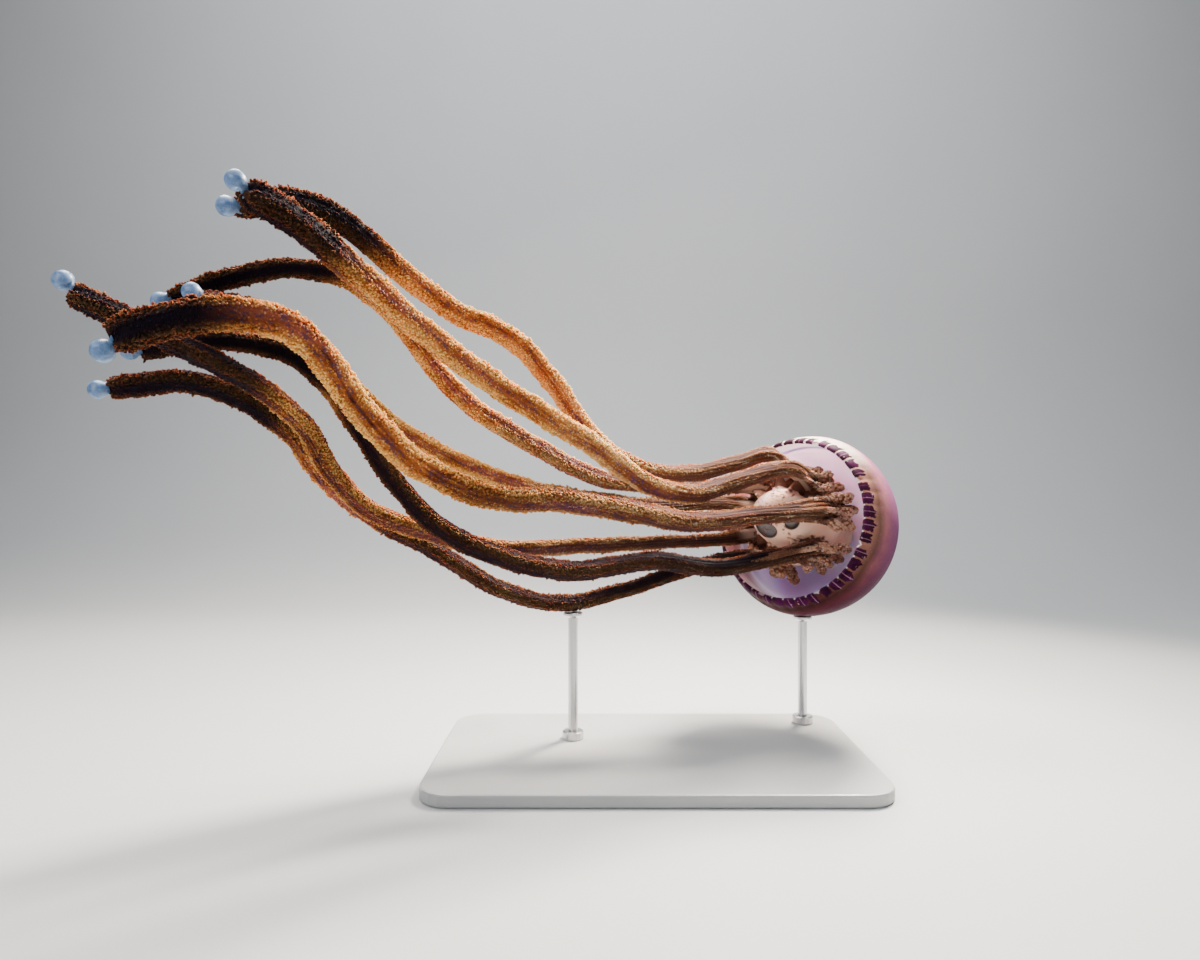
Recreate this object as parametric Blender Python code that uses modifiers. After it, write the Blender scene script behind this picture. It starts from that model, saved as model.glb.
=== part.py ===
"""Whip-armed jellyfish (Thysanostoma) swimming, as a still life-size display model on a stand.

Run with: blender --background --python part.py
Metres, +Z up. The origin is the middle of the stand's underside; -Y is the viewing side.
The bell hangs at the right with its mouth to the left and the viewer, and the eight mouth
arms stream from it to the left, each a rope of three frilled wings that ends in a club.
"""
import math

import bmesh
import bpy
from mathutils import Matrix, Vector

GAP = 0.0003                        # clearance between pieces that touch

# ---- bell: a deep dome turned about its own axis -------------------------------------------
BELL_CENTRE = Vector((0.177, 0.088, 0.230))   # middle of the widest ring
MOUTH_AZIMUTH = math.radians(226.2)           # which way the mouth faces, from +X towards +Y
MOUTH_RISE = math.radians(12.6)               # and how far it looks up
BELL_RADIUS = 0.100
DOME_HEIGHT = 0.088                 # widest ring to apex
CEILING_HEIGHT = 0.046              # widest ring to the top of the hollow under the dome
MARGIN_DEPTH = 0.022                # widest ring to where the lappets begin
MARGIN_RADIUS = 0.0945              # outside radius there
MARGIN_WALL = 0.0085
BELL_STEPS = 32

# ---- margin: a ring of lappets, in eight groups of five ---------------------------------------
LAPPET_GROUPS = 8
LAPPETS_PER_GROUP = 5
LAPPET_LENGTH = 0.014               # along the bell's axis
LAPPET_TURN_IN = 0.0085             # how far their edge curls inwards
LAPPET_NOTCH = 0.0022               # depth of the notches between them
LAPPET_PHASE = -15.0                # where one gap between groups lies, in degrees round the axis

# ---- arm disc: the column under the dome that carries the arms --------------------------------
PILLAR_RADIUS = 0.024               # where it hangs from the ceiling
FLANGE_RADIUS = 0.0520              # the plate that the arms and their fingers grow from
FLANGE_BACK = 0.008                 # its two faces, along the axis from the widest ring
FLANGE_FRONT = 0.018
DISC_RADIUS = 0.0295
DISC_SHOULDER = 0.038               # where it starts to narrow
DISC_END = 0.085                    # its round end
DISC_STEPS = 24

# ---- mouth arms -------------------------------------------------------------------------------
CREST_SHARE = 0.925                 # a three-winged section's mean half width over its radius
GROOVE = 0.80                       # groove radius over wing radius
SECTION_SIDES = 9
SHOULDER_RADIUS = 0.0415            # from the bell's axis to an arm's root
SHOULDER_ALONG = 0.031              # how far an arm runs along the axis before it bends away
SHOULDER_RINGS = 3
SHOULDER_LENGTH = 0.05
RING_SPACING = 0.030                # between rings on the free arm
CUTS = (0.30, 0.64)                 # where an arm is divided, as shares of its length
TIP_ROUNDING = 0.0045
FINGERS = 5
FINGER_REACH = 0.0665               # how far the finger lobes reach from the bell's axis
FINGER_SPREAD = math.radians(17.5)  # half the angle that an arm's fan of fingers takes
FINGER_THICKNESS = 0.0085
CLUB_RADIUS = 0.0075
CLUB_SEAT = 0.0055                  # from the arm's end to the middle of the club
CLUB_LEAN = 0.006                   # the most that a club sits off the middle of the arm's end
CLUB_SIDES = 8
CLUB_RINGS = 6

# Each arm: the direction of its root round the bell's axis in degrees, its width in metres at
# the shoulder, middle and tip, its twist in turns, the way its club leans, and its route.
ARMS = {
    1: dict(root=102, width=(0.019, 0.021, 0.022), twist=0.30, club_lean=(-0.2, 0.0, 0.4), route=(
        (0.137, 0.068, 0.306), (0.093, 0.050, 0.297), (0.044, 0.032, 0.287),
        (-0.007, 0.012, 0.292), (-0.054, -0.012, 0.319), (-0.099, -0.042, 0.378),
        (-0.133, -0.064, 0.411), (-0.178, -0.094, 0.428), (-0.219, -0.123, 0.456),
        (-0.259, -0.157, 0.488), (-0.288, -0.185, 0.494), (-0.317, -0.214, 0.479))),
    2: dict(root=60, width=(0.020, 0.022, 0.025), twist=0.35, club_lean=(-0.1, 0.0, 0.9), route=(
        (0.150, 0.035, 0.291), (0.097, 0.010, 0.281), (0.043, -0.015, 0.267),
        (-0.004, -0.036, 0.277), (-0.059, -0.063, 0.314), (-0.137, -0.106, 0.360),
        (-0.190, -0.139, 0.397), (-0.247, -0.183, 0.447), (-0.276, -0.210, 0.472),
        (-0.303, -0.236, 0.484))),
    3: dict(root=140, width=(0.017, 0.021, 0.017), twist=-0.25, club_lean=(0.0, 0.0, 0.0), route=(
        (0.133, 0.092, 0.270), (0.075, 0.086, 0.272), (0.003, 0.060, 0.274),
        (-0.050, 0.033, 0.281), (-0.106, 0.010, 0.308), (-0.176, -0.027, 0.352),
        (-0.209, -0.050, 0.388), (-0.237, -0.070, 0.428), (-0.271, -0.092, 0.456),
        (-0.312, -0.112, 0.462), (-0.362, -0.135, 0.447), (-0.401, -0.151, 0.427))),
    4: dict(root=14, width=(0.021, 0.023, 0.025), twist=0.30, club_lean=(-0.2, 0.0, -0.9), route=(
        (0.172, 0.026, 0.249), (0.114, -0.006, 0.245), (0.040, -0.040, 0.240),
        (-0.023, -0.068, 0.252), (-0.085, -0.100, 0.263), (-0.142, -0.131, 0.267),
        (-0.200, -0.169, 0.297), (-0.235, -0.202, 0.340), (-0.256, -0.232, 0.377),
        (-0.278, -0.256, 0.390), (-0.318, -0.283, 0.385), (-0.357, -0.300, 0.367))),
    5: dict(root=178, width=(0.017, 0.019, 0.017), twist=-0.30, club_lean=(0.0, 0.0, 0.5), route=(
        (0.128, 0.094, 0.245), (0.085, 0.074, 0.254), (0.014, 0.050, 0.252),
        (-0.060, 0.028, 0.260), (-0.120, 0.000, 0.271), (-0.188, -0.037, 0.299),
        (-0.242, -0.069, 0.333), (-0.271, -0.092, 0.366), (-0.293, -0.112, 0.398),
        (-0.321, -0.134, 0.418), (-0.368, -0.166, 0.425))),
    6: dict(root=318, width=(0.021, 0.021, 0.018), twist=0.25, club_lean=(0.0, 0.0, 0.3), route=(
        (0.165, 0.038, 0.207), (0.119, 0.020, 0.198), (0.066, 0.005, 0.191),
        (0.004, -0.011, 0.200), (-0.079, -0.034, 0.193), (-0.144, -0.052, 0.209),
        (-0.196, -0.070, 0.237), (-0.229, -0.078, 0.272), (-0.268, -0.080, 0.329),
        (-0.303, -0.082, 0.375), (-0.334, -0.092, 0.395), (-0.377, -0.131, 0.397),
        (-0.424, -0.152, 0.384))),
    7: dict(root=214, width=(0.016, 0.019, 0.020), twist=-0.25, club_lean=(0.0, 0.6, 1.2), route=(
        (0.132, 0.093, 0.220), (0.088, 0.084, 0.215), (0.015, 0.062, 0.213),
        (-0.071, 0.032, 0.212), (-0.150, -0.003, 0.213), (-0.216, -0.040, 0.232),
        (-0.260, -0.068, 0.253), (-0.286, -0.091, 0.286), (-0.304, -0.112, 0.327),
        (-0.331, -0.136, 0.356), (-0.363, -0.166, 0.377), (-0.402, -0.200, 0.399),
        (-0.436, -0.221, 0.416))),
    8: dict(root=254, width=(0.018, 0.019, 0.021), twist=0.20, club_lean=(0.0, 0.0, -0.2), route=(
        (0.143, 0.058, 0.195), (0.101, 0.062, 0.197), (0.047, 0.062, 0.184),
        (-0.029, 0.044, 0.162), (-0.091, 0.026, 0.152), (-0.151, 0.006, 0.170),
        (-0.216, -0.018, 0.214), (-0.264, -0.042, 0.244), (-0.301, -0.064, 0.280),
        (-0.325, -0.088, 0.322), (-0.357, -0.108, 0.349), (-0.394, -0.129, 0.363),
        (-0.450, -0.153, 0.355))),
}

# ---- stand ------------------------------------------------------------------------------------
BASE_LENGTH = 0.42
BASE_DEPTH = 0.24
BASE_THICKNESS = 0.012
BASE_CORNER = 0.030
BASE_EDGE = 0.002
ROD_RADIUS = 0.005
ROD_SIDES = 16
COLLAR_RADIUS = 0.011
COLLAR_HEIGHT = 0.008
PAD_RADIUS = 0.010
PAD_HEIGHT = 0.006
BELL_ROD = Vector((0.174, 0.085))             # under the lowest point of the bell
BELL_ROD_TOP = 0.1302
ARM_ROD = Vector((-0.078, 0.031))             # under the lowest bend of arm 8
ARM_ROD_TOP = 0.1431


# ---- the bell's own frame: +Z to the apex, the mouth down -------------------------------------
def bell_matrix():
    mouth = Vector((math.cos(MOUTH_RISE) * math.cos(MOUTH_AZIMUTH),
                    math.cos(MOUTH_RISE) * math.sin(MOUTH_AZIMUTH), math.sin(MOUTH_RISE)))
    near = Vector((0, 0, 1)).cross(mouth).normalized()
    turn = Matrix((near, near.cross(mouth), -mouth)).transposed()
    return Matrix.Translation(BELL_CENTRE) @ turn.to_4x4()


BELL = bell_matrix()
MOUTH = -(BELL.to_3x3() @ Vector((0, 0, 1)))
SIDE = BELL.to_3x3() @ Vector((1, 0, 0))
RISE = MOUTH.cross(SIDE)


def round_axis(degrees):
    """Unit vector square to the bell's axis: 0 is the near side, 90 the top."""
    angle = math.radians(degrees)
    return math.cos(angle) * SIDE + math.sin(angle) * RISE


def bell_point(radius, degrees, along):
    """A point by its distance from the bell's axis and its place along it towards the mouth."""
    return BELL_CENTRE + along * MOUTH + radius * round_axis(degrees)


# ---- tools ------------------------------------------------------------------------------------
def clear_scene():
    for obj in list(bpy.data.objects):
        bpy.data.objects.remove(obj, do_unlink=True)


def material(name, colour, roughness=0.5, metallic=0.0):
    made = bpy.data.materials.new(name)
    made.use_nodes = True
    shader = made.node_tree.nodes["Principled BSDF"]
    shader.inputs["Base Color"].default_value = (*colour, 1.0)
    shader.inputs["Roughness"].default_value = roughness
    shader.inputs["Metallic"].default_value = metallic
    return made


def add_object(name, mesh, finish, collection, smooth=True):
    obj = bpy.data.objects.new(name, mesh)
    mesh.materials.append(finish)
    if smooth:
        mesh.shade_smooth()
        mesh.set_sharp_from_angle(angle=math.radians(40))
    collection.objects.link(obj)
    return obj


def mesh_from_bmesh(name, shape):
    bmesh.ops.recalc_face_normals(shape, faces=shape.faces)
    mesh = bpy.data.meshes.new(name)
    shape.to_mesh(mesh)
    shape.free()
    return mesh


def loft(name, rings):
    """A closed solid through rings of equally many points, with a flat cap on each end."""
    shape = bmesh.new()
    loops = [[shape.verts.new(point) for point in ring] for ring in rings]
    count = len(loops[0])
    for low, high in zip(loops, loops[1:]):
        for k in range(count):
            shape.faces.new((low[k], low[(k + 1) % count], high[(k + 1) % count], high[k]))
    shape.faces.new(loops[0])
    shape.faces.new(loops[-1])
    return mesh_from_bmesh(name, shape)


def turned(name, profile, steps, matrix, finish, collection):
    """A profile (radius, height) from the top of its outer side round to its inner side."""
    mesh = bpy.data.meshes.new(name)
    points = [(radius, 0.0, height) for radius, height in profile]
    mesh.from_pydata(points, [(i, i + 1) for i in range(len(points) - 1)], [])
    obj = add_object(name, mesh, finish, collection, smooth=False)
    obj.matrix_world = matrix
    screw = obj.modifiers.new("turn", "SCREW")
    screw.steps = steps
    screw.render_steps = steps
    screw.use_merge_vertices = True
    screw.merge_threshold = 0.00005
    screw.use_smooth_shade = True
    return obj


def arc(centre, radii, start, end, count):
    """Points (radius, height) on an ellipse, between two angles in degrees."""
    points = []
    for i in range(count + 1):
        angle = math.radians(start + (end - start) * i / count)
        points.append((centre[0] + radii[0] * math.cos(angle),
                       centre[1] + radii[1] * math.sin(angle)))
    return points


def smooth_path(points, per_span=24):
    """Centripetal Catmull-Rom curve through the points, as a fine polyline."""
    ends = [points[0] * 2 - points[1], *points, points[-1] * 2 - points[-2]]
    line = []
    for p0, p1, p2, p3 in zip(ends, ends[1:], ends[2:], ends[3:]):
        t1 = (p1 - p0).length ** 0.5
        t2 = t1 + (p2 - p1).length ** 0.5
        t3 = t2 + (p3 - p2).length ** 0.5
        for i in range(per_span):
            t = t1 + (t2 - t1) * i / per_span
            a1 = p0.lerp(p1, t / t1)
            a2 = p1.lerp(p2, (t - t1) / (t2 - t1))
            a3 = p2.lerp(p3, (t - t2) / (t3 - t2))
            b1 = a1.lerp(a2, t / t2)
            b2 = a2.lerp(a3, (t - t1) / (t3 - t1))
            line.append(b1.lerp(b2, (t - t1) / (t2 - t1)))
    line.append(points[-1])
    return line


class Path:
    """A polyline read by its length, with a frame that turns with it but doesn't roll."""

    def __init__(self, line, reference):
        self.line = line
        self.reach = [0.0]
        for a, b in zip(line, line[1:]):
            self.reach.append(self.reach[-1] + (b - a).length)
        self.length = self.reach[-1]
        tangents = [(line[min(i + 1, len(line) - 1)] - line[max(i - 1, 0)]).normalized()
                    for i in range(len(line))]
        side = (reference - tangents[0] * reference.dot(tangents[0])).normalized()
        self.frames = [(tangents[0], side)]
        for before, after in zip(tangents, tangents[1:]):
            side = before.rotation_difference(after) @ side
            side = (side - after * side.dot(after)).normalized()
            self.frames.append((after, side))

    def at(self, distance):
        """Point, tangent and side vector at a distance along the path."""
        distance = min(max(distance, 0.0), self.length)
        i = 0
        while i < len(self.reach) - 2 and self.reach[i + 1] < distance:
            i += 1
        share = (distance - self.reach[i]) / (self.reach[i + 1] - self.reach[i])
        point = self.line[i].lerp(self.line[i + 1], share)
        tangent = self.frames[i][0].lerp(self.frames[i + 1][0], share).normalized()
        side = self.frames[i][1].lerp(self.frames[i + 1][1], share)
        side = (side - tangent * side.dot(tangent)).normalized()
        return point, tangent, side


# ---- bell -------------------------------------------------------------------------------------
def build_bell(finish, collection):
    outer = arc((0, 0), (BELL_RADIUS, DOME_HEIGHT), 90, 0, 9)
    outer[0] = (0.0, DOME_HEIGHT)
    outer += [(0.0985, -0.012), (MARGIN_RADIUS, -MARGIN_DEPTH)]
    inner_rim = MARGIN_RADIUS - MARGIN_WALL
    inner = [(inner_rim, -MARGIN_DEPTH)]
    inner += arc((0, -0.010), (0.0875, CEILING_HEIGHT + 0.010), 0, 90, 7)
    inner[-1] = (0.0, CEILING_HEIGHT)
    return turned("bell", outer + inner, BELL_STEPS, BELL, finish, collection)


def build_margin(finish, collection):
    """The ring of lappets: its edge is notched between lappets and deeper between groups."""
    per_lappet = 2
    count = LAPPET_GROUPS * LAPPETS_PER_GROUP * per_lappet
    shape = bmesh.new()
    loops = []
    start = MARGIN_DEPTH + GAP
    wall_in = MARGIN_RADIUS - MARGIN_WALL
    for i in range(count):
        degrees = LAPPET_PHASE + 360.0 * i / count
        in_notch = i % per_lappet == 0
        in_gap = i % (per_lappet * LAPPETS_PER_GROUP) == 0
        short = LAPPET_NOTCH * (2.0 if in_gap else 1.0) if in_notch else 0.0
        edge = start + LAPPET_LENGTH - short
        turn_in = LAPPET_TURN_IN * (LAPPET_LENGTH - short) / LAPPET_LENGTH
        section = ((MARGIN_RADIUS, start), (MARGIN_RADIUS - 0.3 * turn_in, (start + edge) / 2),
                   (MARGIN_RADIUS - turn_in, edge), (wall_in - 0.8 * turn_in, edge - 0.0006),
                   (wall_in, start))
        loops.append([shape.verts.new(bell_point(radius, degrees, along))
                      for radius, along in section])
    size = len(loops[0])
    for i in range(count):
        here, there = loops[i], loops[(i + 1) % count]
        for k in range(size):
            shape.faces.new((here[k], there[k], there[(k + 1) % size], here[(k + 1) % size]))
    return add_object("bell_margin", mesh_from_bmesh("bell_margin", shape), finish, collection)


def build_disc(finish, collection):
    """The arm disc: a pillar from the dome's ceiling, a flange, and a column with a round end."""
    top = CEILING_HEIGHT - 0.0022
    back, front, edge = -FLANGE_BACK, -FLANGE_FRONT, 0.0015
    profile = [(0.0, top), (PILLAR_RADIUS - 0.004, top - 0.0012), (PILLAR_RADIUS, top - 0.008),
               (PILLAR_RADIUS, back + 0.006), (PILLAR_RADIUS + 0.006, back),
               (FLANGE_RADIUS - edge, back), (FLANGE_RADIUS, back - edge),
               (FLANGE_RADIUS, front), (DISC_RADIUS, front), (DISC_RADIUS, -DISC_SHOULDER)]
    profile += arc((0, -DISC_SHOULDER), (DISC_RADIUS, DISC_END - DISC_SHOULDER), -18, -90, 4)
    profile[-1] = (0.0, -DISC_END)
    return turned("arm_disc", profile, DISC_STEPS, BELL, finish, collection)


# ---- mouth arms -------------------------------------------------------------------------------
def winged_section(point, tangent, side, radius, roll, wings):
    """One ring of an arm: three wings round a core. wings runs from 0, round, to 1, full."""
    up = tangent.cross(side)
    ring = []
    for k in range(SECTION_SIDES):
        angle = 2 * math.pi * k / SECTION_SIDES
        crest = (1 + math.cos(3 * angle)) / 2
        reach = radius * (1 - wings * (1 - GROOVE) * (1 - crest ** 0.7))
        turn = angle + roll
        ring.append(point + reach * (math.cos(turn) * side + math.sin(turn) * up))
    return ring


def arm_width(widths, share):
    """Width at a share of the arm's length, from its values at the shoulder, middle and tip."""
    shoulder, middle, tip = widths
    if share < 0.5:
        return shoulder + (middle - shoulder) * share / 0.5
    return middle + (tip - middle) * (share - 0.5) / 0.5


def arm_path(arm):
    points = [bell_point(SHOULDER_RADIUS, arm["root"], FLANGE_FRONT + GAP),
              bell_point(SHOULDER_RADIUS, arm["root"], SHOULDER_ALONG)]
    points += [Vector(point) for point in arm["route"]]
    return Path(smooth_path(points), Vector((0, 0, 1)))


def arm_ring(arm, path, distance):
    point, tangent, side = path.at(distance)
    share = distance / path.length
    wings = min(1.0, distance / SHOULDER_LENGTH)
    radius = arm_width(arm["width"], share) / 2 / (1 - (1 - CREST_SHARE) * wings)
    to_tip = path.length - distance
    if to_tip < TIP_ROUNDING:
        radius *= 0.72 + 0.28 * math.sqrt(max(0.0, to_tip / TIP_ROUNDING))
    return winged_section(point, tangent, side, radius, 2 * math.pi * arm["twist"] * share, wings)


def ring_places(path, start, end):
    """Distances of the rings from start to end: close on the shoulder, wider on the free arm."""
    places = [start]
    if start < SHOULDER_LENGTH:
        places += [SHOULDER_LENGTH * (i + 1) / SHOULDER_RINGS for i in range(SHOULDER_RINGS)]
    free = end - places[-1]
    steps = max(1, round(free / RING_SPACING))
    begin = places[-1]
    places += [begin + free * (i + 1) / steps for i in range(steps)]
    if end == path.length:
        places[-1:] = [end - TIP_ROUNDING, end - 0.35 * TIP_ROUNDING, end]
    return places


def build_arm(number, finish, collection):
    arm = ARMS[number]
    path = arm_path(arm)
    bounds = [0.0, *(cut * path.length for cut in CUTS), path.length]
    for i, part in enumerate(("inner", "middle", "outer")):
        start = bounds[i] + (GAP / 2 if i else 0.0)
        end = bounds[i + 1] - (GAP / 2 if i < 2 else 0.0)
        rings = [arm_ring(arm, path, place) for place in ring_places(path, start, end)]
        name = f"arm_{number}_{part}"
        add_object(name, loft(name, rings), finish, collection)
    return path


def build_club(number, path, finish, collection):
    """The smooth club on the arm's end: a ball that meets the end in a flat."""
    arm = ARMS[number]
    end, tangent, side = path.at(path.length)
    up = tangent.cross(side)
    lean = Vector(arm["club_lean"])
    lean = (lean - tangent * lean.dot(tangent)) * CLUB_LEAN
    rings = []
    for i in range(CLUB_RINGS):
        share = math.sin(math.pi / 2 * i / (CLUB_RINGS - 0.6))
        along = -CLUB_SEAT + (CLUB_RADIUS + CLUB_SEAT) * share
        radius = math.sqrt(CLUB_RADIUS ** 2 - along ** 2)
        centre = end + lean + tangent * (along + CLUB_SEAT + GAP)
        rings.append([centre + radius * (math.cos(2 * math.pi * k / CLUB_SIDES) * side
                                         + math.sin(2 * math.pi * k / CLUB_SIDES) * up)
                      for k in range(CLUB_SIDES)])
    name = f"arm_{number}_club"
    add_object(name, loft(name, rings), finish, collection)


def build_fingers(number, finish, collection):
    """The fan of finger lobes outside an arm's root, on the rim of the flange."""
    inner = FLANGE_RADIUS + GAP
    half = FINGER_SPREAD / FINGERS
    outline = []
    for i in range(FINGERS):
        middle = FINGER_SPREAD * (2 * i + 1 - FINGERS) / FINGERS
        reach = FINGER_REACH - 0.004 * abs(middle) / FINGER_SPREAD
        valley = inner + 0.35 * (reach - inner)
        outline += [(middle - half, valley), (middle - 0.7 * half, reach - 0.0015),
                    (middle, reach), (middle + 0.7 * half, reach - 0.0015)]
    outline.append((FINGER_SPREAD, valley))
    outline += [(0.8 * FINGER_SPREAD, inner), (0.0, inner + 0.0002), (-0.8 * FINGER_SPREAD, inner)]
    degrees = ARMS[number]["root"]
    middle_along = (FLANGE_BACK + FLANGE_FRONT) / 2
    rings = []
    for along in (middle_along - FINGER_THICKNESS / 2, middle_along + FINGER_THICKNESS / 2):
        rings.append([bell_point(reach, degrees + math.degrees(angle), along)
                      for angle, reach in outline])
    name = f"arm_{number}_fingers"
    add_object(name, loft(name, rings), finish, collection, smooth=False)


# ---- stand ------------------------------------------------------------------------------------
def build_base(finish, collection):
    outline = bpy.data.curves.new("stand_base", "CURVE")
    outline.dimensions = "2D"
    outline.fill_mode = "BOTH"
    outline.extrude = BASE_THICKNESS / 2 - BASE_EDGE
    outline.bevel_depth = BASE_EDGE
    outline.bevel_resolution = 1
    outline.offset = -BASE_EDGE
    corners = []
    steps = 5
    for cx, cy, start in ((1, 1, 0), (-1, 1, 90), (-1, -1, 180), (1, -1, 270)):
        for i in range(steps + 1):
            angle = math.radians(start + 90 * i / steps)
            corners.append((cx * (BASE_LENGTH / 2 - BASE_CORNER) + BASE_CORNER * math.cos(angle),
                            cy * (BASE_DEPTH / 2 - BASE_CORNER) + BASE_CORNER * math.sin(angle)))
    spline = outline.splines.new("POLY")
    spline.points.add(len(corners) - 1)
    for point, (x, y) in zip(spline.points, corners):
        point.co = (x, y, 0.0, 1.0)
    spline.use_cyclic_u = True
    outline.materials.append(finish)
    base = bpy.data.objects.new("stand_base", outline)
    base.location = (0, 0, BASE_THICKNESS / 2)
    collection.objects.link(base)


def build_rod(name, place, top, finish, collection):
    """A rod on a low collar, with a small round pad on its top."""
    bottom = BASE_THICKNESS + GAP
    profile = [(0.0, top), (PAD_RADIUS - 0.001, top), (PAD_RADIUS, top - 0.001),
               (PAD_RADIUS, top - 0.003), (ROD_RADIUS, top - PAD_HEIGHT),
               (ROD_RADIUS, bottom + COLLAR_HEIGHT), (COLLAR_RADIUS - 0.001, bottom + COLLAR_HEIGHT),
               (COLLAR_RADIUS, bottom + COLLAR_HEIGHT - 0.001), (COLLAR_RADIUS, bottom),
               (0.0, bottom)]
    turned(name, profile, ROD_SIDES, Matrix.Translation((place.x, place.y, 0)), finish, collection)


def main():
    clear_scene()
    collection = bpy.data.collections.new("whip_armed_jellyfish")
    bpy.context.scene.collection.children.link(collection)
    jelly = material("bell_jelly", (0.55, 0.38, 0.52), 0.25)
    lappet = material("lappet_jelly", (0.16, 0.05, 0.18), 0.35)
    peach = material("disc_jelly", (0.80, 0.58, 0.46), 0.35)
    frill = material("arm_frill", (0.42, 0.20, 0.09), 0.6)
    clear = material("club_jelly", (0.62, 0.70, 0.82), 0.15)
    paint = material("stand_paint", (0.52, 0.525, 0.535), 0.45)
    steel = material("stand_steel", (0.62, 0.62, 0.63), 0.3, 1.0)
    build_bell(jelly, collection)
    build_margin(lappet, collection)
    build_disc(peach, collection)
    for number in ARMS:
        path = build_arm(number, frill, collection)
        build_club(number, path, clear, collection)
        build_fingers(number, frill, collection)
    build_base(paint, collection)
    build_rod("stand_rod_bell", BELL_ROD, BELL_ROD_TOP, steel, collection)
    build_rod("stand_rod_arms", ARM_ROD, ARM_ROD_TOP, steel, collection)


main()
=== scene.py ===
"""Whip-armed jellyfish (Thysanostoma): the dressed model on its stand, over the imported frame.

Metres, +Z up, in the part's own frame; the camera looks along +Y. The bell is one turned skin
with lappets. The arm disc, the arms' roots and the fingers are melted into one skin, which also
takes in the arms' swept cores. Knobs coat the arms and fingers, and every arm ends in a club.
"""
import math
import random

import bmesh
import bpy
import numpy as np
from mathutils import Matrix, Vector, noise


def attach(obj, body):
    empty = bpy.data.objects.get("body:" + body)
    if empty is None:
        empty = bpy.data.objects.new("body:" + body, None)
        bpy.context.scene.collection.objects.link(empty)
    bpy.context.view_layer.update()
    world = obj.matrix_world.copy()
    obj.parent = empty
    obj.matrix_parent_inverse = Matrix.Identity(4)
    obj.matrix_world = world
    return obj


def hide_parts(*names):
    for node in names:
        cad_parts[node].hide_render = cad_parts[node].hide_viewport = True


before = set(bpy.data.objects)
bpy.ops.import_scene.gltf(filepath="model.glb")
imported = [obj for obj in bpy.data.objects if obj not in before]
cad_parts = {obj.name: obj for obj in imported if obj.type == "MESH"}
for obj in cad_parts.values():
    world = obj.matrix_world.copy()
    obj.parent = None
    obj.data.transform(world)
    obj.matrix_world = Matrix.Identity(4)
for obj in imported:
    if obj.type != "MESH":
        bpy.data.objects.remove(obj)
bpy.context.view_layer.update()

# ---- sizes that the part has too ----
BELL_CENTRE = np.array((0.177, 0.088, 0.23))
MOUTH_AZIMUTH = math.radians(226.2)
MOUTH_RISE = math.radians(12.6)
BELL_RADIUS = 0.1
DOME_HEIGHT = 0.088
CEILING_HEIGHT = 0.046
LAPPET_GROUPS = 8
LAPPETS_PER_GROUP = 5
LAPPET_NOTCH = 0.0022
LAPPET_PHASE = -15.0  # where one of the gaps between the groups lies, in degrees
FLANGE_FRONT = 0.018
DISC_SHOULDER = 0.038
SHOULDER_RADIUS = 0.0415
SHOULDER_ALONG = 0.031
SHOULDER_LENGTH = 0.05
CREST_SHARE = 0.925
FINGER_SPREAD = 17.5  # degrees each way
CLUB_RADIUS = 0.0075
CLUB_SEAT = 0.0055
CLUB_LEAN = 0.006

# ---- sizes of the skins and the coats alone ----
LAPPET_COLUMNS = 10  # points across one lappet
HOLLOW_RADIUS = 0.0875  # of the bell's inside
DISC_RADIUS = 0.0312
DISC_END = 0.087
WEB_THICKNESS = 0.0034  # of the web that ties an arm's root to the disc
WEB_LENGTH = 0.052
ROOT_LENGTH = 0.075  # how much of each arm is melted into the disc's skin
MELT_VOXEL = 0.0013
# openings on the arm disc: degrees round the axis, place on its round end (0 at the rim, 90 at
# the tip), half length and half breadth
OPENINGS = ((-18, 36, 0.0085, 0.008), (-94, 51, 0.011, 0.0125), (62, 4, 0.0095, 0.0085),
            (158, 4, 0.0095, 0.0085))
SPOTS = (86, 46)  # where the disc's small dark spots lie, in the same way
GROOVE = 0.78  # an arm's radius between its wings, against its crests
ROOT_GROOVE = 0.8  # the same at its root
RIDGES = 15  # fine ridges round an arm
WAVE_LENGTH = 0.052  # of the swellings along the wings
TIP_ROUNDING = 0.011
END_NOTCH = 0.005  # how much sooner the grooves end than the wings
CORE_START = 0.02  # from an arm's root to the start of its core
CORE_SIDES = 45
CORE_SPACING = 0.0024
MOUTHLET_ROWS = 36
MOUTHLET_STEP = 0.00165
MOUTHLET_WIDTH = 0.00088
FINGER_REACH = 0.06
# each finger's share of the spread, how far along the axis it ends, and its extra reach
FINGERS = ((1.0, 0.008, 0.003), (0.75, 0.027, -0.001), (-0.15, 0.014, 0.002),
           (-0.95, 0.01, 0.0), (-1.1, 0.028, -0.003), (0.35, -0.003, -0.002))
FINGER_CORE = 0.84  # a finger's radius under its knobs, against the whole
KNOB_ROWS = 11
KNOB_STEP = 0.0023

MOUTH = np.array((math.cos(MOUTH_RISE) * math.cos(MOUTH_AZIMUTH),
                  math.cos(MOUTH_RISE) * math.sin(MOUTH_AZIMUTH), math.sin(MOUTH_RISE)))
SIDE = np.cross((0, 0, 1), MOUTH)
SIDE /= np.linalg.norm(SIDE)
RISE = np.cross(MOUTH, SIDE)

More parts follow.
